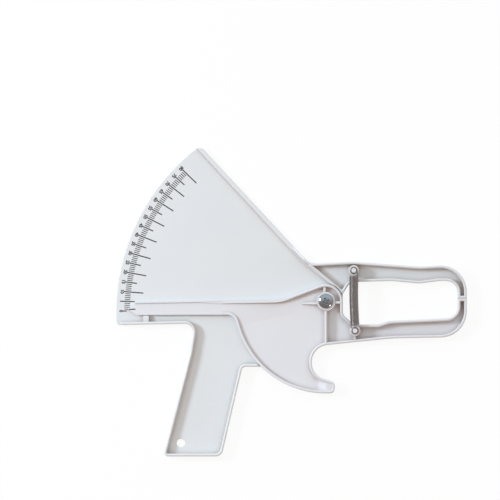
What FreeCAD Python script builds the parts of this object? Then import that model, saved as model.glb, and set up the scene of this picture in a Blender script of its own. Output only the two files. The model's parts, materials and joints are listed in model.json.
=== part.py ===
import FreeCAD, Part
import math
import os
import re
import Sketcher
from FreeCAD import Rotation, Vector

# Skinfold caliper: two plastic mouldings that cross at a pivot, closed by an extension spring.
# It lies on its back. The origin is the pivot axis on the back plane, +X towards the jaws, +Z up.
# Lengths in millimetres, angles in degrees.

SIZES = {
    # both mouldings
    "sheet_thick": 2.0,        # floor of the frame and of the lower jaw
    "body_depth": 8.5,         # back plane to the top of the rims
    "wall_thick": 2.1,         # every rim
    "rim_chamfer": 0.75,       # broken edges of the rim tops
    "sharp_round": 1.0,        # small outline corners
    "overcut": 10.0,           # how far a cutting solid passes what it cuts
    # fan plate of the frame
    "fan_radius": 159.5,
    "fan_right": 0.4,          # centre of the fan's arc, from the pivot
    "fan_drop": 9.6,
    "fan_round": 3.0,
    "peak_round": 5.0,         # top corner of the fan
    "slant": 47.15,            # slope of the fan's slanted edge
    "slant_run": 150.0,        # far enough along it to pass the arc
    "neck_out": 12.0,          # where the slanted edge meets the upper jaw
    "neck_round": 12.0,
    "neck_run": 18.0,          # how far the jaw's rim runs up the slanted edge before it ends in the bead
    "bead_wide": 3.4,
    "bead_top": 4.2,
    "bead_round": 0.9,
    "bead_turn_left": 16.6,    # where the bead leaves the edge and runs down to the hub
    "bead_turn_round": 30.0,
    "bead_foot_right": 6.5,    # where it ends, beside the jaw's rim and above the hub
    "bead_foot_up": 10.6,
    # grip of the frame
    "rim_drop": 17.0,          # bottom rim of the fan, at the grip
    "rim_fall": 0.021,         # its slope
    "rim_reach": 155.8,
    "grip_left": 99.6,
    "grip_waist": 103.3,
    "waist_drop": 40.0,
    "waist_round": 90.0,
    "heel_left": 123.7,
    "heel_right": 79.0,
    "grip_drop": 117.8,
    "heel_round": 6.0,
    "root_round": 6.5,
    "shoulder_turn": 45.1,     # where the grip's rim ends at the trigger's arc
    "shoulder_long": 13.6,
    "hang_left": 110.0,
    "hang_rise": 9.9,          # above the bottom of the grip
    "hang_radius": 3.25,
    "edge_start": 5.0,         # the hidden edge that stops the lever at full travel
    "fan_edge_start": 20.0,
    "stop_left": 136.4,
    "stop_wide": 4.2,
    "stop_long": 5.4,
    "stop_high": 6.0,
    # jaws
    "jaw_reach": 103.6,        # pivot to the middle of the pads
    "pad_wide": 6.8,
    "pad_line": 2.0,           # where the pads meet, above the pivot
    "pad_gap": 0.1,
    "jaw_round": 20.0,
    "throat_round": 9.0,
    "throat_lean": 0.3,
    "throat_fall": 0.9,
    "notch_left": 12.9,        # foot of the V notch between the jaws
    "notch_up": 5.5,
    "notch_round": 6.0,
    "heel_of_jaw": 14.8,       # left end of the upper jaw's channel
    "upper_edge": 28.3,        # outer edge of the upper jaw above the pivot
    "upper_throat": 15.3,      # inner edge of the upper jaw
    "peak_right": 20.0,
    "peak_lift": 1.8,
    "dip_right": 71.0,
    "dip_drop": 2.0,
    "dip_before": 21.0,
    "dip_after": 15.0,
    "dip_round": 25.0,
    "long_round": 60.0,        # the gentle bends of the jaws' long edges
    "notch_right": 18.6,       # where the inner edge of the upper jaw turns to the V notch
    "lower_edge": 27.2,        # outer edge of the lower jaw below the pivot
    "lower_throat": 12.7,      # inner edge of the lower jaw
    "lower_root": 17.8,
    "lower_root_right": 21.5,
    "root_bend": 8.0,
    "step_left": 40.0,
    "step_right": 48.0,
    "step_drop": 2.4,
    "step_round": 10.0,
    "edge_bend": 50.0,
    "edge_dip": 1.1,
    "edge_round": 150.0,
    "edge_fall": 0.102,        # slope of the lower jaw's outer edge behind the bend
    # lever
    "travel": 46.0,            # pads shut to pads 81 mm apart
    "plate_gap": 0.4,
    "plate_thick": 2.0,
    "hub_radius": 12.9,
    "hub_gap": 0.5,
    "hub_slope": 20.6,
    "pointer_reach": 151.0,
    "pointer_nose": 143.5,
    "pointer_middle": 6.5,
    "pointer_upper": 1.1,
    "pointer_lower": 10.3,
    "nose_flare": 0.4,
    "pointer_root": 34.0,
    "pointer_sweep": 30.0,
    "pointer_thick": 2.8,
    "pointer_rim": 0.6,
    "pointer_wide": 40.0,      # wider than the pointer, so that its outline cuts it
    "face_turn": 1.1,          # slope of the pointer's raised edge
    "face_wide": 21.0,
    "face_drop": 0.5,
    "ramp_run": 12.0,
    "ramp_turn": 12.4,
    "ramp_up": 1.9,
    "ramp_start": 75.8,
    "ramp_end": 29.0,
    "slope_end": 20.0,         # where the rims reach their full depth
    "trigger_radius": 70.0,
    "trigger_first": 197.2,    # the trigger's arc, from the pointer to its tip
    "trigger_last": 272.5,
    "trigger_gap": 0.6,
    "trigger_root": 7.0,
    "hollow_left": 10.6,
    "hollow_fill": 0.59,       # rounding of the finger hollow over its depth
    "hollow_rise": 13.7,       # above the trigger's lowest point
    "tip_right": 7.0,
    "tip_rise": 8.4,
    "tip_lean": 0.4,
    "tip_round": 3.4,
    "tip_solid": 5.2,          # how far the trigger's tip is filled
    "rib_thick": 1.9,
    "rib_left": 0.95,
    "rib_start": 5.0,
    "rib_drop": 1.0,           # tops of the ribs below the rims
    "gusset_left": 5.5,
    "gusset_drop": 1.7,
    "gusset_long": 12.5,
    "gusset_nose": 0.8,
    "stop_gap": 0.3,
    "well_bottom": 10.2,
    # pivot hardware
    "pad_radius": 7.0,
    "pad_clear": 0.5,
    "washer_inset": 0.6,
    "boss_top": 9.0,
    "axle_radius": 3.0,
    "run_gap": 0.05,
    "flange_radius": 5.0,
    "flange_thick": 1.0,
    "thread_radius": 1.6,
    "thread_deep": 6.0,
    "thread_spare": 0.3,
    "head_radius": 5.65,
    "head_edge": 1.0,
    "head_shoulder": 1.7,
    "head_high": 2.3,
    "cross_long": 5.0,
    "cross_wide": 1.3,
    "cross_deep": 1.5,
    # spring
    "peg_reach": 31.5,
    "upper_peg": 47.9,         # direction of each peg from the pivot
    "lower_peg": -45.4,
    "peg_radius": 1.85,
    "peg_top": 13.8,
    "collar_radius": 4.0,
    "collar_top": 11.8,
    "web_thick": 1.5,          # web from each collar to the wall behind it
    "wire": 0.9,
    "coil_radius": 3.5,
    "coil_start": 4.35,
    "loop_gap": 0.1,
    "loop_turn": 300.0,        # how far each end loop goes round its peg
}

doc = FreeCAD.newDocument("SkinfoldCaliper")
sheet = doc.addObject("Spreadsheet::Sheet", "Sizes")
UP = Vector(0, 0, 1)


def fill_sheet():
    """Write every driving size into the sheet, under its own name."""
    for row, (name, value) in enumerate(SIZES.items(), start=1):
        sheet.set(f"A{row}", name)
        sheet.set(f"B{row}", str(value))
        sheet.setAlias(f"B{row}", name)
    doc.recompute()


def bound(formula):
    """A formula in size names, with each name pointed at the sheet."""
    return re.sub(r"\b[a-z_]{3,}\b(?!\()", lambda name: "Sizes." + name.group(), formula)


def primitive(kind, name, place=("0", "0", "0"), turn="0", **sizes):
    """A Part primitive with its sizes, place and turn about Z bound to the sheet."""
    solid = doc.addObject("Part::" + kind, name)
    for size, formula in sizes.items():
        solid.setExpression(size, bound(formula))
    for axis, formula in zip("xyz", place):
        solid.setExpression("Placement.Base." + axis, bound(formula))
    solid.Placement.Rotation = Rotation(UP, 1)
    solid.setExpression("Placement.Rotation.Angle", bound(turn))
    return solid


def disc(name, radius, bottom, top, x="0", y="0"):
    """An upright cylinder between two heights."""
    return primitive("Cylinder", name, (x, y, bottom), Radius=radius, Height=f"({top}) - ({bottom})")


def cut(name, base, tool):
    result = doc.addObject("Part::Cut", name)
    result.Base = base
    result.Tool = tool
    return result


def fuse(name, *pieces):
    result = doc.addObject("Part::MultiFuse", name)
    result.Shapes = list(pieces)
    return result


def common(name, *pieces):
    result = doc.addObject("Part::MultiCommon", name)
    result.Shapes = list(pieces)
    return result


def corner_cells(name, corners):
    """Write an outline's corner formulas into a sheet of its own, one row for each corner."""
    cells = doc.addObject("Spreadsheet::Sheet", name + "_corners")
    for row, corner in enumerate(corners, start=1):
        for column, formula in zip("ABC", corner):
            cells.set(f"{column}{row}", "=" + bound(formula))
    cells.recompute()
    return cells


def arc_at(before, corner, after, radius):
    """The arc that rounds a corner: its two ends, itself, and which way it turns."""
    back = (before - corner).normalize()
    ahead = (after - corner).normalize()
    half = back.getAngle(ahead) / 2
    first = corner + back * (radius / math.tan(half))
    last = corner + ahead * (radius / math.tan(half))
    centre = corner + (back + ahead).normalize() * (radius / math.sin(half))
    left = back.cross(ahead).z < 0
    start, end = (first, last) if left else (last, first)
    angles = [math.atan2(point.y - centre.y, point.x - centre.x) for point in (start, end)]
    if angles[1] < angles[0]:
        angles[1] += 2 * math.pi
    arc = Part.ArcOfCircle(Part.Circle(centre, UP, radius), *angles)
    return first, last, arc, left


def outline(name, corners, closed=True, body=None, plane="XY_Plane"):
    """A sketch through corners given as formulas (x, y, rounding), with tangent arcs at the rounded ones."""
    cells = corner_cells(name, corners)
    rows = range(1, len(corners) + 1)
    points = [Vector(cells.get(f"A{row}"), cells.get(f"B{row}"), 0) for row in rows]
    radii = [cells.get(f"C{row}") for row in rows]
    if body:
        sketch = body.newObject("Sketcher::SketchObject", name)
        origin_plane = next(item for item in body.Origin.OriginFeatures if item.Role == plane)
        sketch.AttachmentSupport = (origin_plane, "")
        sketch.MapMode = "FlatFace"
    else:
        sketch = doc.addObject("Sketcher::SketchObject", name)

    count = len(points)
    geometry = [Part.Point(point) for point in points]
    arcs = {}
    for i in range(count):
        if radii[i] > 0:
            arcs[i] = arc_at(points[i - 1], points[i], points[(i + 1) % count], radii[i])
            geometry.append(arcs[i][2])
    arc_number = {i: count + k for k, i in enumerate(arcs)}
    line_count = count if closed else count - 1
    line_number = {i: len(geometry) + i for i in range(line_count)}
    for i in range(line_count):
        j = (i + 1) % count
        start = arcs[i][1] if i in arcs else points[i]
        end = arcs[j][0] if j in arcs else points[j]
        geometry.append(Part.LineSegment(start, end))
    sketch.addGeometry(geometry, False)
    for i in range(count):
        sketch.setConstruction(i, True)

    ties = []
    for i in range(count):
        arriving, leaving = line_number.get((i - 1) % count), line_number.get(i)
        if i in arcs:
            number, left = arc_number[i], arcs[i][3]
            ties.append(Sketcher.Constraint("Tangent", arriving, 2, number, 1 if left else 2))
            ties.append(Sketcher.Constraint("Tangent", number, 2 if left else 1, leaving, 1))
            ties.append(Sketcher.Constraint("PointOnObject", i, 1, arriving))
            ties.append(Sketcher.Constraint("PointOnObject", i, 1, leaving))
            continue
        if arriving is not None:
            ties.append(Sketcher.Constraint("Coincident", arriving, 2, i, 1))
        if leaving is not None:
            ties.append(Sketcher.Constraint("Coincident", leaving, 1, i, 1))
    sketch.addConstraint(ties)

    for i, row in enumerate(rows):
        for kind, value, column in (("DistanceX", points[i].x, "A"), ("DistanceY", points[i].y, "B")):
            number = sketch.addConstraint(Sketcher.Constraint(kind, i, 1, value))
            sketch.setExpression(f"Constraints[{number}]", f"{cells.Name}.{column}{row}")
        if i in arcs:
            number = sketch.addConstraint(Sketcher.Constraint("Radius", arc_number[i], radii[i]))
            sketch.setExpression(f"Constraints[{number}]", f"{cells.Name}.C{row}")
    return sketch


def extrude(name, sketch, bottom, top):
    """A solid of the sketch between two heights."""
    solid = doc.addObject("Part::Extrusion", name)
    solid.Base = sketch
    solid.DirMode = "Custom"
    solid.Dir = UP
    solid.Solid = True
    solid.setExpression("LengthFwd", bound(top))
    solid.setExpression("LengthRev", bound(f"-({bottom})"))
    return solid


def inset(name, sketch, distance, fill=False, mode="Pipe"):
    """The sketch offset by a distance; filled, it is the band between the two."""
    band = doc.addObject("Part::Offset2D", name)
    band.Source = sketch
    band.Mode = mode
    band.Join = "Arc"
    band.Fill = fill
    band.setExpression("Value", bound(distance))
    return band


def soften(name, kind, base, size, choose):
    """Fillet or chamfer the edges that choose() picks from the base's shape."""
    doc.recompute()
    result = doc.addObject("Part::" + kind, name)
    result.Base = base
    value = float(sheet.get(size))
    result.Edges = [(k, value, value) for k, edge in enumerate(base.Shape.Edges, start=1) if choose(edge)]
    return result


def at_height(height):
    """Picks the edges that lie in the plane at one height."""
    level = float(sheet.get(height))
    return lambda edge: abs(edge.BoundBox.ZMin - level) < 1e-4 and abs(edge.BoundBox.ZMax - level) < 1e-4


def upright_near(x, y, reach):
    """Picks the upright edges within reach of a place."""
    def choose(edge):
        box = edge.BoundBox
        upright = box.ZLength > 1 and box.XLength < 0.01 and box.YLength < 0.01
        return upright and math.hypot(box.XMin - x, box.YMin - y) < reach
    return choose


def on_ray(radius, angle):
    """Formulas for the place at a radius and an angle round the pivot."""
    return f"{radius} * cos({angle})", f"{radius} * sin({angle})"


def tray(name, sketch, bottom, floor):
    """An open moulding: the outline up to the full depth, hollowed inside its wall down to the floor."""
    blank = extrude(name + "_blank", sketch, bottom, "body_depth")
    hollow = extrude(name + "_hollow", inset(name + "_inner", sketch, "-wall_thick"), floor, "body_depth + 1")
    shell = cut(name + "_shell", blank, hollow)
    return soften(name + "_softened", "Chamfer", shell, "rim_chamfer", at_height("body_depth"))


# ---------------------------------------------------------------- places that two pieces share

JAW_OUTER = "jaw_reach + pad_wide / 2"
JAW_INNER = "jaw_reach - pad_wide / 2"
LEVER_BASE = "sheet_thick + plate_gap"
LEVER_FLOOR = "sheet_thick + plate_gap + plate_thick"
SPRING_AXIS = "collar_top + wire / 2 + 0.05"


def lower_edge_at(x):
    """Height of the lower jaw's outer edge line behind its bend."""
    return f"-(lower_edge + edge_dip) - (edge_bend - ({x})) * edge_fall"


def stop_line(along):
    """A place on the frame's hidden edge, which stops the lever's rib at full travel."""
    clear = "(rib_left + stop_gap)"
    return (f"-{clear} * cos(travel) - ({along}) * sin(travel)",
            f"{clear} * sin(travel) - ({along}) * cos(travel)")


# ---------------------------------------------------------------- frame

NOTCH = ("notch_left", "notch_up", "0")
JAW_SLOPE = "((upper_edge - notch_up) / (heel_of_jaw + notch_left))"
PEAK_SLOPE = "(peak_lift / (heel_of_jaw + peak_right))"


def fan_bottom_at(x):
    """Height of the fan's bottom edge."""
    return f"-rim_drop + rim_fall * (({x}) + grip_left)"


def grip_corners():
    """The outer line of the bottom rim, the grip and the shoulder, from the fan to the trigger."""
    shoulder_x, shoulder_y = on_ray("-(trigger_radius + stop_gap)", "shoulder_turn")
    return [
        ("-rim_reach", fan_bottom_at("-rim_reach"), "0"),
        ("-grip_left", "-rim_drop", "root_round"),
        ("-grip_waist", "-waist_drop", "waist_round"),
        ("-heel_left", "-grip_drop", "fan_round"),
        ("-heel_right", "-grip_drop", "heel_round"),
        (shoulder_x + " - shoulder_long", shoulder_y, "fan_round"),
        (shoulder_x, shoulder_y, "0"),
    ]


def up_the_slant(run):
    """A place along the fan's slanted edge, from where it meets the upper jaw."""
    return f"-neck_out - ({run}) * cos(slant)", f"upper_edge + ({run}) * sin(slant)"


def make_fan():
    """The flat fan plate with the bead along its slanted edge."""
    left = "-fan_radius - overcut"
    far_x, far_y = up_the_slant("slant_run")
    slanted_edge = [
        (far_x, far_y, "0"),
        ("-neck_out", "upper_edge", "neck_round"),
    ]
    plate_line = outline("fan_line", [
        (left, fan_bottom_at(left), "0"),
        (left, far_y, "0"),
        *slanted_edge,
        ("0", "upper_edge", "0"),
        NOTCH,
        ("hub_radius", "stop_gap", "0"),
        (*stop_line("0"), "0"),
        (*stop_line("fan_edge_start"), "0"),
        ("-grip_left", fan_bottom_at("-grip_left"), "0"),
    ])
    beside_jaw = f"upper_edge - (bead_foot_right + neck_out) * {JAW_SLOPE}"
    bead_line = outline("bead_line", [
        *slanted_edge,
        ("bead_foot_right", beside_jaw, "0"),
        ("bead_foot_right", "bead_foot_up", "0"),
        ("-bead_turn_left", "upper_edge + (bead_turn_left - neck_out) * tan(slant) - bead_wide / cos(slant)",
         "bead_turn_round"),
        (far_x, f"{far_y} - bead_wide / cos(slant)", "0"),
    ])
    edge = disc("fan_disc", "fan_radius", "-1", "body_depth", "fan_right", "-fan_drop")
    block = common("fan_sector", extrude("fan_blank", plate_line, "0", "bead_top"), edge)
    doc.recompute()
    corners = [vertex.Point for vertex in block.Shape.Vertexes]
    peak = max(corners, key=lambda point: point.y)
    foot = min(corners, key=lambda point: point.x + point.y)
    block = soften("fan_with_peak", "Fillet", block, "peak_round", upright_near(peak.x, peak.y, 0.1))
    block = soften("fan_block", "Fillet", block, "fan_round", upright_near(foot.x, foot.y, 0.1))
    above = disc("above_plate", "fan_radius + overcut", "sheet_thick", "body_depth", "fan_right", "-fan_drop")
    bead = soften("bead", "Fillet", extrude("bead_blank", bead_line, "0", "bead_top"), "bead_round",
                  at_height("bead_top"))
    hub_space = disc("bead_hub_space", "hub_radius + hub_gap", "sheet_thick", "body_depth")
    trimmed = cut("bead_cleared", common("bead_trimmed", bead, block), hub_space)
    return fuse("fan", cut("fan_plate", block, above), trimmed)


def make_neck():
    """The rim that leaves the upper jaw and sinks into the bead along the slanted edge."""
    line = outline("neck_line", [
        (*up_the_slant("neck_run"), "0"),
        ("-neck_out", "upper_edge", "neck_round"),
        ("-neck_out / 3", f"upper_edge + (heel_of_jaw - neck_out / 3) * {PEAK_SLOPE}", "0"),
    ], closed=False)
    band = inset("neck_band", line, "wall_thick", fill=True, mode="Skin")
    wall = soften("neck_wall", "Chamfer", extrude("neck_blank", band, "0", "body_depth"), "rim_chamfer",
                  at_height("body_depth"))
    bend = "(neck_round * tan(slant / 2))"
    start_x, start_y = up_the_slant(bend)
    above = primitive("Wedge", "above_neck", (start_x, start_y, "0"), turn="90 - slant",
                      Xmin="-overcut", X2min="-overcut", Xmax="overcut", X2max="overcut",
                      Ymin="0", Ymax=f"neck_run + 1 - {bend}",
                      Zmin="body_depth", Z2min="bead_top", Zmax="2 * body_depth", Z2max="2 * body_depth")
    return cut("neck", wall, above)


def make_grip():
    """The grip: a floor, and a rim that starts along the fan's bottom edge and ends at the trigger."""
    floor_line = outline("grip_floor_line", grip_corners() + [
        (*stop_line("trigger_radius - wall_thick"), "0"),
        (*stop_line("edge_start"), "0"),
        ("-fan_edge_start", "0", "0"),
    ])
    wall_line = outline("grip_wall_line", grip_corners(), closed=False)
    floor = extrude("grip_floor", floor_line, "0", "sheet_thick")
    band = inset("grip_band", wall_line, "wall_thick", fill=True, mode="Skin")
    wall = extrude("grip_wall", band, "0", "body_depth")
    reach = disc("trigger_reach", "trigger_radius + trigger_gap", "-1", "body_depth + 1")
    rim = soften("grip_rim", "Chamfer", cut("grip_wall_end", wall, reach), "rim_chamfer",
                 at_height("body_depth"))
    hang = disc("hang_hole", "hang_radius", "-1", "body_depth", "-hang_left", "-grip_drop + hang_rise")
    return fuse("grip", cut("grip_floor_holed", floor, hang), rim)


def make_upper_jaw():
    """The upper jaw: a channel that narrows to the pad."""
    line = outline("upper_jaw_line", [
        ("-heel_of_jaw", "upper_edge", "sharp_round"),
        ("peak_right", "upper_edge + peak_lift", "long_round"),
        ("dip_right", "upper_edge - dip_drop", "long_round"),
        (JAW_OUTER, "upper_edge", "jaw_round"),
        (JAW_OUTER, "pad_line + pad_gap / 2", "0"),
        (JAW_INNER, "pad_line + pad_gap / 2", "0"),
        (JAW_INNER + " - throat_lean", "upper_throat", "throat_round"),
        ("dip_right + dip_after", "upper_throat", "dip_round"),
        ("dip_right", "upper_throat - dip_drop", "dip_round"),
        ("dip_right - dip_before", "upper_throat", "dip_round"),
        ("notch_right", "upper_throat - throat_fall", "notch_round"),
        NOTCH,
    ])
    jaw = tray("upper_jaw", line, "0", "sheet_thick")
    hub_space = disc("hub_space", "hub_radius + hub_gap", "sheet_thick", "body_depth + 1")
    return cut("upper_jaw_cleared", jaw, hub_space)


def make_peg(side, angle, wall):
    """A spring peg on its collar, with a web to the wall behind it."""
    x, y = on_ray("peg_reach", angle)
    root = "sheet_thick / 2"
    collar = disc(side + "_collar", "collar_radius", root, "collar_top", x, y)
    peg = disc(side + "_peg_post", "peg_radius", root, "peg_top", x, y)
    web = primitive("Box", side + "_web", (f"{x} - web_thick / 2", f"min({y}; {wall})", root),
                    Length="web_thick", Width=f"abs({y} - ({wall}))",
                    Height=f"body_depth - rib_drop - {root}")
    return fuse(side + "_peg_stack", collar, peg, web)


def make_frame():
    """The back moulding: fan, grip, upper jaw, zero stop, spring peg and the pad under the pivot."""
    pad = disc("pivot_pad", "pad_radius", "0", "sheet_thick")
    stop = primitive("Box", "zero_stop",
                     ("-stop_left - stop_wide / 2", "-pointer_lower - nose_flare - stop_gap - stop_long",
                      "sheet_thick / 2"),
                     Length="stop_wide", Width="stop_long", Height="stop_high - sheet_thick / 2")
    peg = make_peg("upper", "upper_peg", "upper_edge - wall_thick / 2")
    body = fuse("frame_body", make_fan(), make_neck(), make_grip(), make_upper_jaw(), pad, stop, peg)
    flange = disc("flange_seat", "flange_radius + run_gap", "-1", "flange_thick")
    bore = disc("post_bore", "axle_radius + run_gap", "-1", "sheet_thick + 1")
    frame = cut("frame", body, fuse("post_seat", flange, bore))
    frame.Label = "frame"
    return frame


# ---------------------------------------------------------------- lever

def lower_jaw_corners():
    """The lower jaw from its root beside the hub, round the pad, to its outer edge."""
    return [
        ("hub_radius", "-well_bottom", "notch_round"),
        ("lower_root_right", "-lower_root", "root_bend"),
        ("step_left", "-lower_root", "step_round"),
        ("step_right", "-lower_throat - step_drop", "step_round"),
        (JAW_INNER + " - throat_lean", "-lower_throat", "throat_round"),
        (JAW_INNER, "pad_line - pad_gap / 2", "0"),
        (JAW_OUTER, "pad_line - pad_gap / 2", "0"),
        (JAW_OUTER, "-lower_edge", "jaw_round"),
        ("edge_bend", "-lower_edge - edge_dip", "edge_round"),
    ]


def trigger_corners():
    """The finger hollow, the tip and the trigger's arc, which is centred on the pivot."""
    half = "((trigger_last - trigger_first) / 2)"
    middle = "((trigger_last + trigger_first) / 2)"
    tip_x = "(tip_right - tip_lean)"
    hollow_top, hollow_bottom = lower_edge_at("-hollow_left"), "-trigger_radius + hollow_rise"
    hollow_round = f"hollow_fill * ({hollow_top} - ({hollow_bottom}))"
    return [
        ("-hollow_left", hollow_top, hollow_round),
        ("-hollow_left", hollow_bottom, hollow_round),
        ("tip_right", "-trigger_radius + tip_rise", "tip_round"),
        (tip_x, f"(trigger_radius - {tip_x} * cos(trigger_last)) / sin(trigger_last)", "tip_round"),
        (f"trigger_radius / cos({half}) * cos({middle})", f"trigger_radius / cos({half}) * sin({middle})",
         "trigger_radius"),
        ("(trigger_radius + pointer_lower * sin(trigger_first)) / cos(trigger_first)", "-pointer_lower",
         "trigger_root"),
    ]


def make_pointer(within):
    """The pointer's slab and the ramp from it down to the trigger's floor, inside the lever's outline."""
    slab_x, slab_y = on_ray("pointer_reach", "ramp_turn")
    slab = primitive("Box", "pointer_slab",
                     ("-ramp_end - " + slab_x, "ramp_up - " + slab_y, LEVER_BASE), turn="ramp_turn",
                     Length="pointer_reach", Width="pointer_wide", Height="pointer_thick")
    ramp = primitive("Wedge", "pointer_ramp", ("-ramp_end", "ramp_up", LEVER_BASE), turn="180 + ramp_turn",
                     Xmin="0", X2min="0", Xmax="trigger_radius", X2max="trigger_radius",
                     Ymin="0", Ymax="ramp_run",
                     Zmin="0", Z2min="0", Zmax="pointer_thick", Z2max="plate_thick")
    return common("pointer", fuse("slab_and_ramp", slab, ramp), within)


def rim_trim():
    """What is taken off the rims: level along the pointer, then a slope up to the full depth at the hub."""
    top = f"{LEVER_BASE} + pointer_thick"
    low = f"{top} + pointer_rim"
    across = "trigger_radius + 2 * overcut"
    level = primitive("Box", "pointer_trim", ("-pointer_reach - overcut", "-trigger_radius", low),
                      Length="pointer_reach + overcut - ramp_start", Width=across, Height="body_depth")
    slope = primitive("Wedge", "rim_slope", ("-ramp_start", "2 * overcut", "0"), turn="-90",
                      Xmin="0", X2min="0", Xmax=across, X2max=across, Ymin="0", Ymax="ramp_start - slope_end",
                      Zmin=low, Z2min="body_depth", Zmax="2 * body_depth", Z2max="2 * body_depth")
    face = primitive("Box", "pointer_face",
                     ("-pointer_reach - overcut", "-pointer_upper - pointer_rim - face_wide - face_drop",
                      top),
                     turn="face_turn", Length="pointer_reach + overcut - ramp_start - wall_thick",
                     Width="face_wide", Height="body_depth")
    return fuse("rim_trims", level, slope, face)


def make_tip_fill(within):
    """The filled end of the trigger's tip."""
    block = primitive("Box", "tip_block", ("tip_right - tip_solid", "-trigger_radius - overcut", LEVER_BASE),
                      Length="tip_solid + overcut", Width="tip_rise + hollow_rise + overcut",
                      Height=f"body_depth - rim_chamfer - ({LEVER_BASE})")
    return common("tip_fill", block, within)


def make_ribs():
    """The boss round the pivot and the ribs that leave it."""
    tall = f"body_depth - rib_drop - ({LEVER_BASE})"
    boss = disc("boss", "pad_radius", LEVER_BASE, "boss_top")
    upper_rib = primitive("Box", "upper_rib", ("-rib_thick", "rib_start", LEVER_BASE),
                          Length="rib_thick", Width="hub_radius - rib_start - rib_drop", Height=tall)
    gusset = primitive("Wedge", "gusset", ("-gusset_left", "-gusset_drop", LEVER_BASE), turn="90",
                       Xmin="-rib_thick / 2", Xmax="rib_thick / 2", X2min="-gusset_nose", X2max="gusset_nose",
                       Ymin="0", Ymax="gusset_long", Zmin="0", Zmax=tall, Z2min="0",
                       Z2max="plate_thick + gusset_nose")
    return fuse("boss_and_ribs", boss, upper_rib, gusset)


def make_lever():
    """The front moulding: pointer, hub, trigger, lower jaw and the second spring peg."""
    pointer_root_y = "hub_radius / cos(hub_slope) - pointer_root * tan(hub_slope)"
    hub_corner = ("hub_radius", "hub_radius * tan(45 + hub_slope / 2)", "hub_radius")
    front_line = outline("lever_line", [
        ("-pointer_nose", "-pointer_lower - nose_flare", "sharp_round"),
        ("-pointer_reach", "-pointer_middle", "0"),
        ("-pointer_nose", "-pointer_upper", "sharp_round"),
        ("-pointer_root", pointer_root_y, "pointer_sweep"),
        hub_corner,
        *lower_jaw_corners(),
        *trigger_corners(),
    ])
    hollow_line = outline("lever_hollow_line", [
        ("-pointer_nose", "-pointer_lower", "0"),
        ("-pointer_nose", "-pointer_upper", "0"),
        ("-pointer_root", pointer_root_y, "pointer_sweep"),
        hub_corner,
        *lower_jaw_corners(),
        *trigger_corners(),
    ])
    deep_line = outline("lower_jaw_line", [
        ("-rib_left", "0", "0"),
        ("hub_radius", "0", "0"),
        *lower_jaw_corners(),
        ("-rib_left", lower_edge_at("-rib_left"), "0"),
    ])
    front_blank = extrude("front_blank", front_line, LEVER_BASE, "body_depth")
    deep_blank = extrude("deep_blank", deep_line, "0", "body_depth")
    front_inner = inset("front_inner", hollow_line, "-wall_thick")
    deep_inner = inset("deep_inner", deep_line, "-wall_thick")
    front_hollow = cut("front_hollow", extrude("front_space", front_inner, LEVER_FLOOR, "body_depth + 1"),
                       deep_blank)
    deep_hollow = extrude("deep_hollow", deep_inner, "sheet_thick", "body_depth + 1")
    shell = cut("lever_shell", fuse("lever_blank", front_blank, deep_blank),
                fuse("lever_hollows", front_hollow, deep_hollow))
    softened = soften("lever_softened", "Chamfer", shell, "rim_chamfer", at_height("body_depth"))
    with_pointer = fuse("lever_with_pointer", softened, make_pointer(front_blank), make_tip_fill(front_blank))
    trimmed = cut("lever_trimmed", with_pointer, rim_trim())
    peg_x = on_ray("peg_reach", "lower_peg")[0]
    peg = make_peg("lower", "lower_peg", f"{lower_edge_at(peg_x)} + wall_thick / 2")
    body = fuse("lever_body", trimmed, make_ribs(), peg)
    pad_space = disc("pad_space", "pad_radius + pad_clear", "-1", LEVER_BASE)
    bore = disc("lever_bore", "axle_radius + run_gap", "-1", "boss_top + 1")
    lever = cut("lever", body, fuse("pivot_space", pad_space, bore))
    lever.Label = "lever"
    return lever


# ---------------------------------------------------------------- pivot hardware

POST_TOP = "boss_top + 0.1"


def turned(name, profile, axis="V_Axis", plane="XZ_Plane"):
    """A body turned from a profile about an axis of its sketch."""
    body = doc.addObject("PartDesign::Body", name)
    body.Label = name
    sketch = outline(name + "_profile", profile, body=body, plane=plane)
    turn = body.newObject("PartDesign::Revolution", name + "_turn")
    turn.Profile = sketch
    turn.ReferenceAxis = (sketch, [axis])
    turn.Angle = 360
    body.Tip = turn
    return body


def make_pivot_post():
    """The flanged sleeve that the lever turns on."""
    return turned("pivot_post", [
        ("0", "0", "0"),
        ("flange_radius", "0", "0"),
        ("flange_radius", "flange_thick", "0"),
        ("axle_radius", "flange_thick", "0"),
        ("axle_radius", POST_TOP, "0"),
        ("thread_radius", POST_TOP, "0"),
        ("thread_radius", f"{POST_TOP} - thread_deep", "0"),
        ("0", f"{POST_TOP} - thread_deep", "0"),
    ])


def make_pivot_screw():
    """The domed screw in the post, with its cross recess."""
    shank = "thread_radius - run_gap"
    head_top = f"{POST_TOP} + head_high"
    shank_end = f"{POST_TOP} - thread_deep + thread_spare"
    body = turned("pivot_screw", [
        ("0", shank_end, "0"),
        (shank, shank_end, "0"),
        (shank, POST_TOP, "0"),
        ("head_radius", POST_TOP, "0"),
        ("head_radius", f"{POST_TOP} + head_edge", "0"),
        ("head_radius * 0.85", f"{POST_TOP} + head_shoulder", "0"),
        ("head_radius * 0.55", head_top, "0"),
        ("0", head_top, "0"),
    ])
    arm, half = "cross_long / 2", "cross_wide / 2"
    cross = [(arm, half), (half, half), (half, arm), (f"-{half}", arm), (f"-{half}", half), (f"-{arm}", half),
             (f"-{arm}", f"-{half}"), (f"-{half}", f"-{half}"), (f"-{half}", f"-{arm}"), (half, f"-{arm}"),
             (half, f"-{half}"), (arm, f"-{half}")]
    sketch = outline("cross_line", [(x, y, "0") for x, y in cross], body=body)
    sketch.setExpression("AttachmentOffset.Base.z", bound(head_top))
    recess = body.newObject("PartDesign::Pocket", "cross_recess")
    recess.Profile = sketch
    recess.setExpression("Length", bound("cross_deep"))
    body.Tip = recess
    return body


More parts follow.
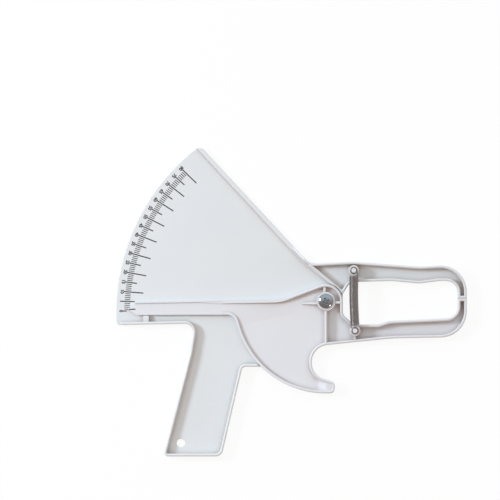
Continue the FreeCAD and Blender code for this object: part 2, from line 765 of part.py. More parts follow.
def make_pivot_washer():
    """The thin washer that keeps the two mouldings apart."""
    bottom, top = "sheet_thick", f"{LEVER_BASE} - run_gap"
    inner, outer = "axle_radius + run_gap", "pad_radius - washer_inset"
    return turned("pivot_washer", [
        (inner, bottom, "0"),
        (outer, bottom, "0"),
        (outer, top, "0"),
        (inner, top, "0"),
    ])


# ---------------------------------------------------------------- spring

LOOP_RADIUS = "(peg_radius + loop_gap + wire / 2)"
PEG_SPAN = "(2 * peg_reach * sin((upper_peg - lower_peg) / 2))"


def make_spring_piece(name, profile, peg, turn):
    """A piece of the spring, turned about the line between the pegs, with its open loop round one peg."""
    body = turned(name, profile, axis="H_Axis", plane="XY_Plane")
    section = outline(name + "_section", [
        (f"{LOOP_RADIUS} + wire / 2 * cos({angle})", f"wire / 2 * sin({angle})", "0")
        for angle in range(0, 360, 45)
    ], body=body, plane="XZ_Plane")
    loop = body.newObject("PartDesign::Revolution", name + "_loop")
    loop.Profile = section
    loop.ReferenceAxis = (section, ["V_Axis"])
    loop.setExpression("Angle", bound("loop_turn"))
    body.Tip = loop
    for axis, formula in zip("xyz", (*on_ray("peg_reach", peg), SPRING_AXIS)):
        body.setExpression("Placement.Base." + axis, bound(formula))
    body.Placement.Rotation = Rotation(UP, 1)
    body.setExpression("Placement.Rotation.Angle", bound(turn))
    return body


def make_spring():
    """The extension spring: its close coils with the upper loop, and the lower loop on the lever's peg."""
    along = "(upper_peg + lower_peg) / 2 - 90"
    link = [
        (LOOP_RADIUS, "0", "0"),
        (LOOP_RADIUS, "wire / 2", "0"),
        ("coil_start", "wire / 2", "0"),
        ("coil_start", "coil_radius", "0"),
    ]
    coils_end = f"{PEG_SPAN} - coil_start - wire"
    coils = make_spring_piece("jaw_spring", link + [
        (coils_end, "coil_radius", "0"),
        (coils_end, "coil_radius - wire", "0"),
        ("coil_start + wire", "coil_radius - wire", "0"),
        ("coil_start + wire", "0", "0"),
    ], "upper_peg", along)
    hook = make_spring_piece("spring_lower_hook", link + [
        ("coil_start + wire", "coil_radius", "0"),
        ("coil_start + wire", "0", "0"),
    ], "lower_peg", f"{along} + 180")
    return coils, hook


# ---------------------------------------------------------------- assembly

def check(nodes):
    """Stop if an object failed or a piece has no valid solid."""
    for item in doc.Objects:
        if "Invalid" in item.State or "Error" in item.State:
            raise RuntimeError(f"{item.Name} failed: {item.State}")
    for name, item in nodes.items():
        if item.Shape.isNull() or not item.Shape.isValid():
            raise RuntimeError(f"{name} has no valid shape")


def main():
    fill_sheet()
    coils, hook = make_spring()
    nodes = {
        "frame": make_frame(),
        "lever": make_lever(),
        "pivot_post": make_pivot_post(),
        "pivot_screw": make_pivot_screw(),
        "pivot_washer": make_pivot_washer(),
        "jaw_spring": coils,
        "spring_lower_hook": hook,
    }
    doc.recompute()
    check(nodes)
    os.makedirs("parts", exist_ok=True)
    for name, node in nodes.items():
        node.Shape.exportStep(f"parts/{name}.step")
        box = node.Shape.optimalBoundingBox()
        print(f"{name}: {len(node.Shape.Solids)} solid, {node.Shape.Volume:.0f} mm3, {box}")


main()
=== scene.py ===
"""Skinfold caliper dressed for rendering.

Moulded ABS, a screen-printed scale, a chromed screw and a close-coiled steel spring.
"""

import json
import math

import bpy
import numpy as np
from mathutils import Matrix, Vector


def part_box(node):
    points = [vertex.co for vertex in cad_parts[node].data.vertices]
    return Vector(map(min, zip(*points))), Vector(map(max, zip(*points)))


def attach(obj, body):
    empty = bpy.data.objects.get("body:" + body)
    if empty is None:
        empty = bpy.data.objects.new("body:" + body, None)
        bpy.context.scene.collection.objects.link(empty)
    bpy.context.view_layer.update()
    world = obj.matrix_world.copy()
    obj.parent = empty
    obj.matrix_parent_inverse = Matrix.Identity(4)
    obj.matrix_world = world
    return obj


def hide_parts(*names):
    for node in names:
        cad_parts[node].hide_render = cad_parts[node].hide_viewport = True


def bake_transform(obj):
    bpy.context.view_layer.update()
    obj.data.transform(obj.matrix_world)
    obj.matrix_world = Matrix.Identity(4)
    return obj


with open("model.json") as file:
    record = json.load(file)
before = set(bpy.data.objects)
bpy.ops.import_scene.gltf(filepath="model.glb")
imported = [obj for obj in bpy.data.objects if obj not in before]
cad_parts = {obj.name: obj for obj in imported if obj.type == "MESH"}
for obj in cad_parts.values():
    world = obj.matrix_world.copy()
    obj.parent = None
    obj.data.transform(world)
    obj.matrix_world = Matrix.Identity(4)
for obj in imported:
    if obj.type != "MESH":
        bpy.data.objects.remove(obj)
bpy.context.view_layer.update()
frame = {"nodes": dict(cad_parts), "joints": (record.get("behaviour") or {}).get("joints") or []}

MM = 0.001
UP = np.array((0.0, 0.0, 1.0))

# ---------------------------------------------------------------- places taken from the frame, in mm

joints = {joint["name"]: joint for joint in frame["joints"]}
sheet_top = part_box("pivot_washer")[0].z / MM          # face of the fan plate
screw_high = np.array(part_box("pivot_screw")[1]) / MM
spring_low, spring_high = (np.array(corner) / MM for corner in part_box("jaw_spring"))
upper_peg = np.array(joints["spring_swing"]["pos_m"]) / MM
spring_line = np.array(joints["spring_stretch"]["axis"])

# ---------------------------------------------------------------- sizes, in mm and degrees

# printed scale
FAN_CENTRE = (0.4, -9.6)      # centre of the fan's arc, from the pivot
NUMBER_RADIUS = 156.0         # middle of the numbers; this and the line ends are radii about the fan's centre
BARE_FIVE_OUTER = 157.0       # the five has no number, so its line runs on to the arc of the numbers
LONG_OUTER = 154.7            # outer end of the other fives and the tens
LADDER_OUTER = 153.4          # the ladder is the single millimetres
LADDER_INNER = 149.2
FIVE_INNER = 145.6
TEN_INNER = 139.8
ZERO_INNER = 151.6
TICK_AIM = (0.2, -5.3)        # where the ticks point
TICK_RADIUS = 148.0           # about the pivot, where the tick angles are measured
JAW_REACH = 103.6             # from the pivot to the pads
SCALE_START = -2.9            # angle of the zero above the horizontal
SCALE_END = 80                # last reading, an opening of the jaws
FINE_LINE = 0.62
BOLD_LINE = 0.88              # the fives and tens
NUMBER_HEIGHT = 2.4
TYPE_SIZE = 1.4               # size of the type over the height of its figures
TYPE_WEIGHT = 0.16            # by which the figures' outlines are grown
TYPE_STEPS = 3                # points along each curve of a figure
INK_LIFT = 0.03               # face of the ink above the plastic

# pointer
POINTER_TOP = 5.2             # height of the pointer's face
POINTER_ANGLE = -2.45         # of its middle line above the horizontal

# spring; its radii and spans run to the middle of the wire
WIRE = 0.88
COIL_RADIUS = 3.05
COIL_TURNS = 41.5
COIL_START = 4.5              # from a peg to the nearest turn
LOOP_RADIUS = 2.4             # hook round a peg
LOOP_TURN = 300.0
BEND_START = (2.4, 0.0, 0.0)  # pulls of the curve that bends the hook's wire out to the coil
BEND_END = (0.4, 0.0, 1.8)
PEG_SPAN = 45.8               # between the pegs with the jaws shut
SPRING_BOW = -0.4             # sideways at the middle of the coil, towards the pivot

# screw head
HEAD_HEIGHT = 2.3
HEAD_EDGE = 0.8               # height of the head where the crown would meet its edge
CROWN_SHARE = 0.94            # of the head's radius
CROWN_CURVE = 2.6             # power of the crown's profile: flat in the middle, falling off near the edge
# (share of the head's radius, height) from the crown down the edge and in under the head
HEAD_RIM = ((0.975, 0.62), (1.0, 0.45), (1.0, 0.0), (0.2, 0.0))
RECESS_TURN = 20.0
RECESS_REACH = 2.7            # from the middle to the end of a wing
RECESS_HALF = 0.62            # half the width of a wing
RECESS_DEPTH = 1.3
WING_RUN = 1.2                # length of the slope at the end of a wing
WING_SIDE = 0.3               # width of the slope of its walls

# ---------------------------------------------------------------- small helpers


def linear(code):
    """An sRGB hex colour as linear RGBA."""
    values = [int(code[i:i + 2], 16) / 255 for i in (0, 2, 4)]
    return (*[v / 12.92 if v <= 0.04045 else ((v + 0.055) / 1.055) ** 2.4 for v in values], 1.0)


def unit(vectors):
    """Each vector over its length."""
    return vectors / np.linalg.norm(vectors, axis=-1, keepdims=True)


def make_object(name, points, faces, material, smooth=True):
    """A mesh object at the origin from points in mm."""
    mesh = bpy.data.meshes.new(name)
    mesh.from_pydata((np.asarray(points) * MM).tolist(), [], faces)
    mesh.polygons.foreach_set("use_smooth", [smooth] * len(mesh.polygons))
    mesh.materials.append(material)
    mesh.update()
    piece = bpy.data.objects.new(name, mesh)
    bpy.context.scene.collection.objects.link(piece)
    return piece


def grid_faces(rows, columns, closed):
    """Quads between neighbouring rows and columns; closed joins the last column to the first."""
    steps = columns if closed else columns - 1
    i, j = np.meshgrid(np.arange(rows - 1), np.arange(steps), indexing="ij")
    k = (j + 1) % columns
    row, following = i * columns, (i + 1) * columns
    quads = np.stack([row + j, row + k, following + k, following + j], axis=-1)
    return quads.reshape(-1, 4).tolist()


def between(ends, share):
    """Places, or heights, at a share of the way from one end to the other."""
    start, end = np.array(ends)
    return (1 - share) * start + share * end


def cubic(start, start_pull, end_pull, end, count):
    """Bezier curve: the four points weighted by the terms of (1 - t + t) cubed."""
    t = np.linspace(0, 1, count)[:, None]
    return ((1 - t) ** 3 * start + 3 * (1 - t) ** 2 * t * start_pull
            + 3 * (1 - t) * t ** 2 * end_pull + t ** 3 * end)


# ---------------------------------------------------------------- materials

# sizes in mm
EDGE_ROUND = 0.9              # moulded radius on every edge of the plastic
TONE_DRIFT = 35.0             # from a paler place of the plastic to the next
FLOW_WAVE = 12.0              # between the skin's sink and flow waves
FLOW_HEIGHT = 0.15
BLAST_GRAIN = 0.7             # the real grain is about 0.1 mm; drawn coarser so that it shows
BLAST_HEIGHT = 0.03
PAINTED_SHADE_REACH = 4.5              # how far the painted corner shade reaches from a corner
METAL_HEIGHT = 0.02           # of a metal's drawing or polishing marks
INK_SPECKLE = 0.5             # between the specks where the ink is thin

PLASTIC_IOR = 1.53            # ABS and nylon alike
SATIN = (0.36, 0.46)          # roughness on the paler and on the deeper places of the plastic
OPEN_SKY, TIGHT = 1.0, 0.3    # how open a place is where the painted shade starts and where it is darkest
PAINTED_SHADE_SHARE = 0.7              # of the painted shade's colour where it is darkest
METAL_SPREAD = (0.8, 1.3)     # over a metal's roughness, on its smoothest and its most marked places


def add_node(tree, kind, settings=(), links=()):
    """Add a node; settings are attributes or input values, links are (input, source socket)."""
    node = tree.nodes.new(kind)
    for name, value in dict(settings).items():
        if name in node.inputs:
            node.inputs[name].default_value = value
        else:
            setattr(node, name, value)
    for name, source in dict(links).items():
        tree.links.new(source, node.inputs[name])
    return node


def new_material(name):
    """An empty material and its tree, with an output and Object coordinates."""
    material = bpy.data.materials.new(name)
    material.use_nodes = True
    tree = material.node_tree
    tree.nodes.clear()
    output = add_node(tree, "ShaderNodeOutputMaterial")
    place = add_node(tree, "ShaderNodeTexCoord").outputs["Object"]
    return material, tree, output, place


def mix_colours(tree, share, first, second):
    """Output socket of a mix of two colours, each a hex code or a socket, by a share socket."""
    mix = add_node(tree, "ShaderNodeMix", {"data_type": "RGBA"})
    tree.links.new(share, mix.inputs[0])
    for socket, colour in ((mix.inputs[6], first), (mix.inputs[7], second)):
        if isinstance(colour, str):
            socket.default_value = linear(colour)
        else:
            tree.links.new(colour, socket)
    return mix.outputs[2]


def noise(tree, place, spacing, detail):
    """Noise whose marks lie about a spacing in mm apart."""
    settings = {"Scale": 1 / (spacing * MM), "Detail": detail}
    return add_node(tree, "ShaderNodeTexNoise", settings, {"Vector": place})


def moulded_plastic(name, pale, deep, painted_shade, blended=False):
    """Resin injection-moulded against a finely blasted tool: satin, with a faint grain and slight tone drift.

    Every edge is a small moulded radius, and ambient occlusion mixes a warm painted shade into corners and
    creases.
    A blended piece is sunk in another moulding: it has no edges of its own, and its painted shade also falls
    from what is round it.
    """
    material, tree, output, place = new_material(name)
    drift = noise(tree, place, TONE_DRIFT, 3.0)
    clean = mix_colours(tree, drift.outputs["Fac"], pale, deep)
    # painted shade: ambient occlusion mixes the warm, darker third colour into corners and creases
    shelter = add_node(tree, "ShaderNodeAmbientOcclusion",
                       {"samples": 8, "only_local": not blended, "Distance": PAINTED_SHADE_REACH * MM})
    painted_shade_mix = add_node(tree, "ShaderNodeMapRange",
                    {"interpolation_type": "SMOOTHSTEP", "From Min": OPEN_SKY, "From Max": TIGHT,
                     "To Max": PAINTED_SHADE_SHARE},
                    {"Value": shelter.outputs["AO"]})
    colour = mix_colours(tree, painted_shade_mix.outputs["Result"], clean, painted_shade)
    grain = noise(tree, place, BLAST_GRAIN, 2.0)
    wave = noise(tree, place, FLOW_WAVE, 1.0)
    rounded = add_node(tree, "ShaderNodeBevel", {"samples": 6, "Radius": 0.0 if blended else EDGE_ROUND * MM})
    low = add_node(tree, "ShaderNodeBump", {"Strength": 0.25, "Distance": FLOW_HEIGHT * MM},
                   {"Height": wave.outputs["Fac"], "Normal": rounded.outputs["Normal"]})
    bump = add_node(tree, "ShaderNodeBump", {"Strength": 0.2, "Distance": BLAST_HEIGHT * MM},
                    {"Height": grain.outputs["Fac"], "Normal": low.outputs["Normal"]})
    gloss = add_node(tree, "ShaderNodeMapRange", {"To Min": SATIN[0], "To Max": SATIN[1]},
                     {"Value": drift.outputs["Fac"]})
    shader = add_node(tree, "ShaderNodeBsdfPrincipled", {"IOR": PLASTIC_IOR},
                      {"Base Color": colour, "Roughness": gloss.outputs["Result"],
                       "Normal": bump.outputs["Normal"]})
    tree.links.new(shader.outputs["BSDF"], output.inputs["Surface"])
    return material


def metal(name, code, roughness, spacing, strength):
    """Bare or plated metal; spacing, in mm, and strength are those of its drawing or polishing marks."""
    material, tree, output, place = new_material(name)
    lines = noise(tree, place, spacing, 3.0)
    bump = add_node(tree, "ShaderNodeBump", {"Strength": strength, "Distance": METAL_HEIGHT * MM},
                    {"Height": lines.outputs["Fac"]})
    smooth, marked = (roughness * share for share in METAL_SPREAD)
    gloss = add_node(tree, "ShaderNodeMapRange", {"To Min": smooth, "To Max": marked},
                     {"Value": lines.outputs["Fac"]})
    shader = add_node(tree, "ShaderNodeBsdfPrincipled", {"Base Color": linear(code), "Metallic": 1.0},
                      {"Roughness": gloss.outputs["Result"], "Normal": bump.outputs["Normal"]})
    tree.links.new(shader.outputs["BSDF"], output.inputs["Surface"])
    return material


def printed_ink(name, code, thin):
    """Screen-printed pad ink: a dry film that thins in speckles, so the plastic lightens it."""
    material, tree, output, place = new_material(name)
    speckle = noise(tree, place, INK_SPECKLE, 2.0)
    colour = mix_colours(tree, speckle.outputs["Fac"], code, thin)
    shader = add_node(tree, "ShaderNodeBsdfPrincipled", {"Roughness": 0.6, "IOR": 1.45},
                      {"Base Color": colour})
    tree.links.new(shader.outputs["BSDF"], output.inputs["Surface"])
    return material


# the third colour of each plastic is a warm painted shade for its corners and creases
# satin skin: one broad, soft sheen over the flat fan, cool white in the open and a brownish painted shade in
# the corners
frame_abs = moulded_plastic("frame_abs_moulded", pale="E5E8E7", deep="DFE2E2", painted_shade="BFB0A6")
# the same resin a shade less green, so the lever reads as a second moulding on top of the first
lever_abs = moulded_plastic("lever_abs_moulded", pale="E6E7E8", deep="E0E1E3", painted_shade="BFB0A8")
# the lever's own skin with nothing at the edges to catch the light, so the blends melt into its floor
lever_blend = moulded_plastic("lever_abs_blended", pale="E6E7E8", deep="E0E1E3", painted_shade="BFB0A8",
                              blended=True)
# natural nylon: a thin cream ring that sets the lever off from the frame
nylon = moulded_plastic("washer_nylon_moulded", pale="E4E2DA", deep="D8D6CC", painted_shade="B9AFA4")
# bright plate given a darker colour than chrome has, as painted shade for a dim room in its reflection: a
# dark dome with small, sharp lights and a crisp recess
chrome = metal("screw_steel_chromed", "9AA3AA", roughness=0.1, spacing=1.5, strength=0.05)
# turned on a lathe: fine marks that smear the lights round the barrel
sleeve = metal("post_steel_turned", "B9B7B2", roughness=0.25, spacing=0.4, strength=0.3)
# drawn and oiled: dull grey-brown, with a thin light along each turn of the coil
spring_wire = metal("spring_wire_drawn_oiled", "9A9391", roughness=0.34, spacing=0.5, strength=0.4)
# dry film with no gloss: brown-black strokes with paler specks, as printed ink has under a lens
black_ink = printed_ink("scale_ink_screen_printed", code="332D2B", thin="544E4C")
# the same dry film in red: a small accent where the pointer meets the scale
red_ink = printed_ink("pointer_ink_red", code="B8484A", thin="D08A88")

# ---------------------------------------------------------------- the moulded and turned CAD pieces

CAD_FINISH = {
    "frame": frame_abs,
    "lever": lever_abs,
    "pivot_post": sleeve,
    "pivot_washer": nylon,
}
for node, material in CAD_FINISH.items():
    piece = frame["nodes"][node]
    piece.data.materials.clear()
    piece.data.materials.append(material)

# ---------------------------------------------------------------- printed scale


def tick_angle(opening):
    """Angle of a reading above the horizontal: the jaws' opening is a chord of their swing."""
    swing = 2 * np.degrees(np.arcsin(np.asarray(opening) / (2 * JAW_REACH)))
    return SCALE_START + swing


def on_scale(opening, radius):
    """Places at a radius about the fan's centre, on the lines of the readings, and the lines' directions.

    A place is base + (radius - reach) * outward, with the base on the tick radius, at the reading's angle.
    """
    angle = np.radians(tick_angle(opening))
    base = TICK_RADIUS * np.stack([-np.cos(angle), np.sin(angle)], axis=-1)
    outward = unit(base - np.array(TICK_AIM))
    reach = np.linalg.norm(base - np.array(FAN_CENTRE), axis=-1, keepdims=True)
    return base + (np.asarray(radius)[..., None] - reach) * outward, outward


def strips(starts, ends, width):
    """Flat rectangles between pairs of points: each end's corners lie half a width to either side of it."""
    along = unit(ends - starts)
    side = np.stack([-along[:, 1], along[:, 0]], axis=-1) * width[:, None] / 2
    corners = np.stack([starts + side, starts - side, ends - side, ends + side], axis=1).reshape(-1, 2)
    faces = np.arange(len(corners)).reshape(-1, 4)
    return corners, faces.tolist()


def at_height(flat, height):
    """Flat points raised to a height."""
    return np.column_stack([flat, np.full(len(flat), height)])


def make_ticks():
    """One strip for every millimetre, longer at the fives and tens; the zero's starts beyond the pointer."""
    opening = np.arange(SCALE_END + 1)
    five, ten = opening % 5 == 0, opening % 10 == 0
    inner = np.where(ten, TEN_INNER, np.where(five, FIVE_INNER, LADDER_INNER))
    inner[0] = ZERO_INNER
    outer = np.where(five, LONG_OUTER, LADDER_OUTER)
    outer[5] = BARE_FIVE_OUTER
    width = np.where(five, BOLD_LINE, FINE_LINE)
    flat, faces = strips(on_scale(opening, inner)[0], on_scale(opening, outer)[0], width)
    corners = at_height(flat, sheet_top + INK_LIFT)
    ticks = make_object("scale_ticks", corners, faces, black_ink, smooth=False)
    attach(ticks, "frame_body")


def flat_text(words, height):
    """Outline of words as points round their middle and faces, in mm."""
    curve = bpy.data.curves.new("label", "FONT")
    curve.body = words
    curve.size = height * TYPE_SIZE
    curve.offset = TYPE_WEIGHT
    curve.align_x, curve.align_y = "CENTER", "CENTER"
    curve.resolution_u = TYPE_STEPS
    holder = bpy.data.objects.new("label", curve)
    bpy.context.scene.collection.objects.link(holder)
    bpy.context.view_layer.update()
    mesh = bpy.data.meshes.new_from_object(holder.evaluated_get(bpy.context.evaluated_depsgraph_get()))
    points = np.zeros(len(mesh.vertices) * 3)
    mesh.vertices.foreach_get("co", points)
    faces = [list(polygon.vertices) for polygon in mesh.polygons]
    bpy.data.objects.remove(holder)
    bpy.data.meshes.remove(mesh)
    return points.reshape(-1, 3)[:, :2], faces


def make_numbers():
    """The readings at 0 and at every five from 10, read along the arc with their tops towards the pivot."""
    points, faces = [], []
    for opening in (0, *range(10, SCALE_END + 1, 5)):
        middle, outward = on_scale(opening, NUMBER_RADIUS)
        flat, polygons = flat_text(str(opening), NUMBER_HEIGHT)
        top = -outward
        right = np.array((top[1], -top[0]))
        start = sum(len(block) for block in points)
        points.append(middle + flat[:, :1] * right + flat[:, 1:] * top)
        faces += [[start + k for k in polygon] for polygon in polygons]
    raised = at_height(np.concatenate(points), sheet_top + INK_LIFT)
    numbers = make_object("scale_numbers", raised, faces, black_ink, smooth=False)
    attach(numbers, "frame_body")


POINTER_MARKS = {
    # name: radius about the pivot where it starts, where it ends, width, ink
    "pointer_line": (144.6, 149.6, 0.9, black_ink),
    "pointer_red_end": (149.6, 150.9, 0.5, red_ink),
}


def make_pointer_marks():
    """The dark reading line on the pointer's tip and its red end."""
    angle = math.radians(POINTER_ANGLE)
    ray = np.array((-math.cos(angle), math.sin(angle)))
    for name, (near, far, width, ink) in POINTER_MARKS.items():
        corners, faces = strips(np.array([ray * near]), np.array([ray * far]), np.array([width]))
        mark = make_object(name, at_height(corners, POINTER_TOP + INK_LIFT), faces, ink, smooth=False)
        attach(mark, "lever_body")


make_ticks()
make_numbers()
make_pointer_marks()

# ---------------------------------------------------------------- fairings in the lever's floor

LEVER_FLOOR = 4.4
TIP_BLOCK = 3.35              # top of the filled tip above the floor
RAMP_SIDE = 0.8               # tallest part of the step where the pointer's ramp ends
RIM_START = 1.39              # top of the pointer's rims above the floor, where they widen
SLOPE, WALL = 0.13, 0.97      # share of a fairing that lies level: a little for a slope, nearly all for a rim
FAIRING_LIFT = 0.004          # the foot clears the floor by this, so that the two don't coincide
FAIRING_SINK = 0.3            # how deep the underside lies in the floor
FAIRING_ROWS = 61
FAIRING_COLUMNS = 9
FAIRINGS = {
    # name: the near edge's two ends, the far edge's two ends, heights at the near edge's ends, level share
    "tip_fairing": (((3.1, -61.5), (3.1, -68.5)), ((-7.2, -58.6), (-7.2, -67.9)),
                    (TIP_BLOCK, TIP_BLOCK), SLOPE),
    "ramp_fairing": (((-27.59, -10.08), (-30.17, 1.64)), ((-17.6, -8.0), (-20.2, 3.8)),
                     (0.0, RAMP_SIDE), SLOPE),
    "upper_rim_taper": (((-104.0, -0.3), (-77.9, -0.3)), ((-104.0, -0.6), (-77.9, -2.0)),
                        (RIM_START, RIM_START), WALL),
    "lower_rim_taper": (((-77.9, -10.3), (-104.0, -10.3)), ((-77.9, -8.3), (-104.0, -10.1)),
                        (RIM_START, RIM_START), WALL),
}


def make_fairing(name, near, far, heights, level):
    """A blend from a step down to the floor: height = step * (1 + cos(pi u)) / 2.

    u is 0 over the level share and then runs to 1 at the far edge.
    """
    s, t = np.meshgrid(np.linspace(0, 1, FAIRING_ROWS), np.linspace(0, 1, FAIRING_COLUMNS), indexing="ij")
    s, t = s[..., None], t[..., None]
    flat = (1 - s) * between(near, t) + s * between(far, t)
    u = np.clip((s - level) / (1 - level), 0, 1)
    rise = between(heights, t) * (1 + np.cos(np.pi * u)) / 2
    top = np.concatenate([flat, LEVER_FLOOR + FAIRING_LIFT + rise], axis=-1)
    under = np.concatenate([flat, np.full_like(rise, LEVER_FLOOR - FAIRING_SINK)], axis=-1)
    rows = np.concatenate([under[:1], top, under[-1:], under[::-1][1:-1]])
    count = len(rows)
    faces = [face[::-1] for face in grid_faces(count, FAIRING_COLUMNS, closed=False)]
    last = (count - 1) * FAIRING_COLUMNS
    faces += [[last + j + 1, last + j, j, j + 1] for j in range(FAIRING_COLUMNS - 1)]
    for j, order in ((0, 1), (FAIRING_COLUMNS - 1, -1)):
        faces.append([i * FAIRING_COLUMNS + j for i in range(count)][::order])
    piece = make_object(name, rows.reshape(-1, 3), faces, lever_blend, smooth=False)
    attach(piece, "lever_body")


for name, shape in FAIRINGS.items():
    make_fairing(name, *shape)

# ---------------------------------------------------------------- spring

LOOP_STEPS = 44               # places of the wire round a hook, along its bend and in one turn of the coil
BEND_STEPS = 12
TURN_STEPS = 18
WIRE_SIDES = 8


def spring_wire_path():
    """Centre line of the wire in (along, across, up) from the upper peg, and a direction square to it.

    A loop round the peg, a bend out to the coil's radius, the coil, and the same again turned half round:
    the coil is (pitch * turn, R cos turn, R sin turn), bowed a little to one side.
    """
    turn = np.radians(np.linspace(90 + LOOP_TURN, 90, LOOP_STEPS))
    loop = LOOP_RADIUS * np.stack([np.cos(turn), np.sin(turn), 0 * turn], axis=-1)
    first = np.array((COIL_START, COIL_RADIUS, 0.0))
    bend = cubic(loop[-1], loop[-1] + BEND_START, first - BEND_END, first, BEND_STEPS)[1:-1]
    turns = np.radians(np.linspace(0, 360 * COIL_TURNS, int(COIL_TURNS * TURN_STEPS) + 1))
    share = turns / turns[-1]
    length = PEG_SPAN - 2 * COIL_START
    bow = SPRING_BOW * np.sin(np.pi * share)
    coil = np.stack([COIL_START + length * share, COIL_RADIUS * np.cos(turns) + bow,
                     COIL_RADIUS * np.sin(turns)], axis=-1)
    lead = np.concatenate([loop, bend])
    tail = ((PEG_SPAN, 0, 0) - lead * (1, 1, -1))[::-1]
    path = np.concatenate([lead, coil, tail])
    mix = np.concatenate([np.zeros(len(loop)), np.linspace(0, 1, len(bend))])[:, None]
    lead_square = unit((1 - mix) * (0, 0, 1) + mix * (0, 1, 0))
    coil_square = np.stack([0 * turns, np.cos(turns), np.sin(turns)], axis=-1)
    tail_square = (lead_square * (1, -1, 1))[::-1]
    return path, np.concatenate([lead_square, coil_square, tail_square])


def swept_wire(path, square):
    """A ring of points about each place: path + r (cos a normal + sin a across); a cap closes each end."""
    ahead = unit(np.gradient(path, axis=0))
    normal = unit(square - np.sum(square * ahead, axis=-1, keepdims=True) * ahead)
    across = np.cross(ahead, normal)
    around = (2 * np.pi * np.arange(WIRE_SIDES) / WIRE_SIDES)[:, None]
    ring = np.cos(around) * normal[:, None] + np.sin(around) * across[:, None]
    points = (path[:, None] + WIRE / 2 * ring).reshape(-1, 3)
    faces = grid_faces(len(path), WIRE_SIDES, closed=True)
    last = (len(path) - 1) * WIRE_SIDES
    faces += [list(range(WIRE_SIDES))[::-1], list(range(last, last + WIRE_SIDES))]
    return points, faces


def make_spring():
    """The coiled wire laid from peg to peg, with a hook round each peg."""
    local, faces = swept_wire(*spring_wire_path())
    sideways = np.cross(UP, spring_line)
    axis_height = (spring_low[2] + spring_high[2]) / 2
    origin = np.array((upper_peg[0], upper_peg[1], axis_height))
    points = origin + local[:, :1] * spring_line + local[:, 1:2] * sideways + local[:, 2:] * UP
    spring = make_object("spring_coils", points, faces, spring_wire)
    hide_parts("jaw_spring", "spring_lower_hook")
    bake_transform(spring)


make_spring()

# ---------------------------------------------------------------- screw

HEAD_SIDES = 120
CROWN_RINGS = 70
CROWN_START = 0.01            # first ring's share of the crown; a small cap closes the middle


def recess_wing(along, beside):
    """Depth share of one wing: full in the middle, out to nothing at its end and its walls."""
    end = np.clip((RECESS_REACH - np.abs(along)) / WING_RUN, 0, 1)
    wall = np.clip((RECESS_HALF - np.abs(beside)) / WING_SIDE, 0, 1)
    return end * wall


def make_screw():
    """A pan head turned from its profile, with the wings of the cross recess pressed into its crown.

    The crown's height is edge + (top - edge) * (1 - (r / radius) ** curve), less the deeper of two wings.
    """
    radius = screw_high[0]
    base = screw_high[2] - HEAD_HEIGHT
    turn = 2 * np.pi * np.arange(HEAD_SIDES) / HEAD_SIDES
    crown = radius * CROWN_SHARE * np.linspace(CROWN_START, 1, CROWN_RINGS)
    r, a = np.meshgrid(crown, turn, indexing="ij")
    height = HEAD_EDGE + (HEAD_HEIGHT - HEAD_EDGE) * (1 - (r / radius) ** CROWN_CURVE)
    x, y = r * np.cos(a), r * np.sin(a)
    tilt = math.radians(RECESS_TURN)
    u = x * math.cos(tilt) + y * math.sin(tilt)
    v = -x * math.sin(tilt) + y * math.cos(tilt)
    pit = RECESS_DEPTH * np.maximum(recess_wing(u, v), recess_wing(v, u))
    top = np.stack([x, y, base + height - pit], axis=-1)
    rim = [np.stack([radius * out * np.cos(turn), radius * out * np.sin(turn), base + up + 0 * turn], axis=-1)
           for out, up in HEAD_RIM]
    rings = np.concatenate([top, np.stack(rim)])
    faces = grid_faces(len(rings), HEAD_SIDES, closed=True)
    last = (len(rings) - 1) * HEAD_SIDES
    faces += [list(range(HEAD_SIDES))[::-1], list(range(last, last + HEAD_SIDES))]
    screw = make_object("screw_head", rings.reshape(-1, 3), [face[::-1] for face in faces], chrome)
    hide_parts("pivot_screw")
    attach(screw, "frame_body")


make_screw()

# ---------------------------------------------------------------- floor, light and camera

# sizes in mm
VIEW_CENTRE = (-57.5, 38.8)   # what lies under the middle of the view, from the pivot
VIEW_WIDTH = 380.0
CAMERA_HEIGHT = 4000.0
SENSOR = 36.0
LAMP_DISTANCE = 1500.0
FLOOR_HALF = 6000.0
FLOOR_DROP = 0.05             # from the caliper's back down to the floor, so that the two don't coincide

FLOOR_WHITENING = 0.9         # share of plain white in the floor, as seen directly or in the metal
NEAR_SIDE, FAR_SIDE = 0.45, 1.06   # strength of the surround on the near side and beyond the fan
NEAR_EDGE, FAR_EDGE = -0.5, 0.6    # a direction's part along +Y, where one ends and where the other begins


def make_floor():
    """A white table top that takes a soft shadow; seen directly or in the metal it is lifted to white."""
    material, tree, output, _ = new_material("floor_white_paper")
    paper = add_node(tree, "ShaderNodeBsdfDiffuse", {"Color": linear("FCFBFA")})
    white = add_node(tree, "ShaderNodeEmission", {"Strength": 1.0})
    path = add_node(tree, "ShaderNodeLightPath").outputs
    seen = add_node(tree, "ShaderNodeMath", {"operation": "MAXIMUM"},
                    {0: path["Is Camera Ray"], 1: path["Is Glossy Ray"]})
    lift = add_node(tree, "ShaderNodeMath", {"operation": "MULTIPLY"}, {0: seen.outputs[0]})
    lift.inputs[1].default_value = FLOOR_WHITENING
    both = add_node(tree, "ShaderNodeMixShader", {},
                    {0: lift.outputs[0], 1: paper.outputs[0], 2: white.outputs[0]})
    tree.links.new(both.outputs[0], output.inputs["Surface"])
    corners = FLOOR_HALF * np.array([(-1, -1), (1, -1), (1, 1), (-1, 1)])
    make_object("floor", at_height(corners, -FLOOR_DROP), [[0, 1, 2, 3]], material, smooth=False)


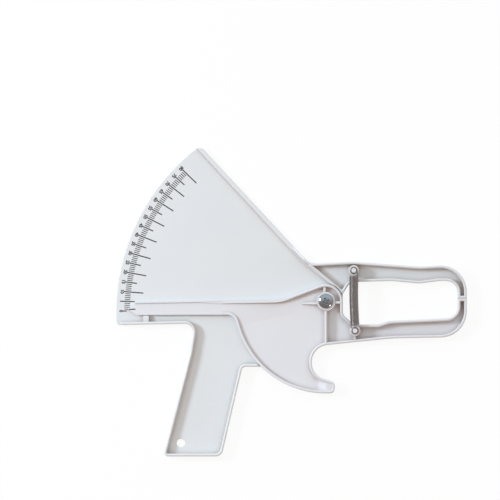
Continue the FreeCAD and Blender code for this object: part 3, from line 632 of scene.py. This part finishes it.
def make_world():
    """A studio with pale walls all round: cool and bright beyond the fan, warm and dim on the near side."""
    world = bpy.data.worlds.new("studio")
    bpy.context.scene.world = world
    world.use_nodes = True
    tree = world.node_tree
    tree.nodes.clear()
    place = add_node(tree, "ShaderNodeTexCoord").outputs["Generated"]
    far_side = add_node(tree, "ShaderNodeVectorMath", {"operation": "DOT_PRODUCT"}, {0: place})
    far_side.inputs[1].default_value = (0.0, 1.0, 0.0)
    share = add_node(tree, "ShaderNodeMapRange",
                     {"interpolation_type": "SMOOTHSTEP", "From Min": NEAR_EDGE, "From Max": FAR_EDGE},
                     {"Value": far_side.outputs["Value"]}).outputs["Result"]
    level = add_node(tree, "ShaderNodeMapRange", {"To Min": NEAR_SIDE, "To Max": FAR_SIDE}, {"Value": share})
    tint = mix_colours(tree, share, "FFE6D8", "F3F9FF")
    glow = add_node(tree, "ShaderNodeBackground", {}, {"Color": tint, "Strength": level.outputs["Result"]})
    output = add_node(tree, "ShaderNodeOutputWorld")
    tree.links.new(glow.outputs[0], output.inputs["Surface"])


def softbox(name, azimuth, elevation, size, power, code):
    """A square light at an azimuth and elevation about the middle of the view, aimed at it."""
    lamp = bpy.data.lights.new(name, "AREA")
    lamp.size = size * MM
    lamp.energy = power
    lamp.color = linear(code)[:3]
    holder = bpy.data.objects.new(name, lamp)
    bpy.context.scene.collection.objects.link(holder)
    turn, rise = math.radians(azimuth), math.radians(elevation)
    ray = Vector((math.cos(rise) * math.cos(turn), math.cos(rise) * math.sin(turn), math.sin(rise)))
    holder.location = (Vector((*VIEW_CENTRE, 0)) + LAMP_DISTANCE * ray) * MM
    holder.rotation_euler = ray.to_track_quat("Z", "Y").to_euler()


def make_camera():
    """Straight above the middle of the view, from so far that it sees no slant."""
    lens = bpy.data.cameras.new("camera")
    lens.sensor_width = SENSOR
    lens.lens = SENSOR * CAMERA_HEIGHT / VIEW_WIDTH
    lens.clip_start, lens.clip_end = 0.05, 20.0   # metres
    camera = bpy.data.objects.new("camera", lens)
    camera.location = Vector((*VIEW_CENTRE, CAMERA_HEIGHT)) * MM
    bpy.context.scene.collection.objects.link(camera)
    bpy.context.scene.camera = camera


make_floor()
make_world()
softbox("key_softbox", azimuth=167, elevation=38, size=300, power=12.6, code="DFEFFF")
softbox("low_fill", azimuth=-45, elevation=35, size=250, power=1.2, code="FFF0E2")
make_camera()

bpy.context.scene.view_settings.view_transform = "Standard"
